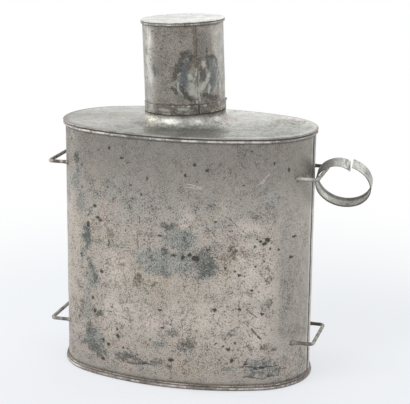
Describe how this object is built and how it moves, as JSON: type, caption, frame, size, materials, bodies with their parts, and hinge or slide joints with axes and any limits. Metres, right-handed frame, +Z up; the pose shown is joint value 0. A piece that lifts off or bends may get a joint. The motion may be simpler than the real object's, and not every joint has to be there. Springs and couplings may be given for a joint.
{
  "type": "flask",
  "caption": "Oval tinned-iron field flask with a slip-on drinking cup, a corked neck, wire strap loops at both ends and a strip ring hanging from one loop.",
  "frame": {"origin": "middle of the oval base, on the surface that the flask stands on", "axes": "+Z up, +X along the long side towards the end with the upright seam and the strap ring, -Y towards the front"},
  "size_m": [0.2032, 0.0964, 0.2255],
  "materials": {
    "body_tin": "dull, patinated tin",
    "shoulder_tin": "dull, patinated tin",
    "cup_tin": "dull tin with dark solder stains",
    "ring_tin": "satin tin with pale solder at its ends",
    "wire": "dull iron wire, partly tinned",
    "cork": "matt"
  },
  "bodies": {
    "flask": {"body_wall": "body_tin", "base_plate": "body_tin", "shoulder_plate": "shoulder_tin", "neck_tube": "body_tin", "upper_loop_right": "wire", "upper_loop_left": "wire", "lower_loop_right": "wire", "lower_loop_left": "wire"},
    "cup": {"cup_wall": "cup_tin", "cup_end": "cup_tin"},
    "cork": {"cork_stopper": "cork"},
    "ring": {"strap_ring": "ring_tin"}
  },
  "joints": [
    {"name": "cup_lift", "type": "slide", "parent": "flask", "child": "cup", "axis": [-0.0419, 0, 0.9991], "range_m": [0, 0.06]},
    {"name": "cork_pull", "type": "slide", "parent": "flask", "child": "cork", "axis": [-0.0419, 0, 0.9991], "range_m": [0, 0.0155]},
    {"name": "ring_swing", "type": "hinge", "parent": "flask", "child": "ring", "pos_m": [0.0863, -0.0015, 0.133], "axis": [0, -1, 0], "range_deg": [0, 50]}
  ]
}
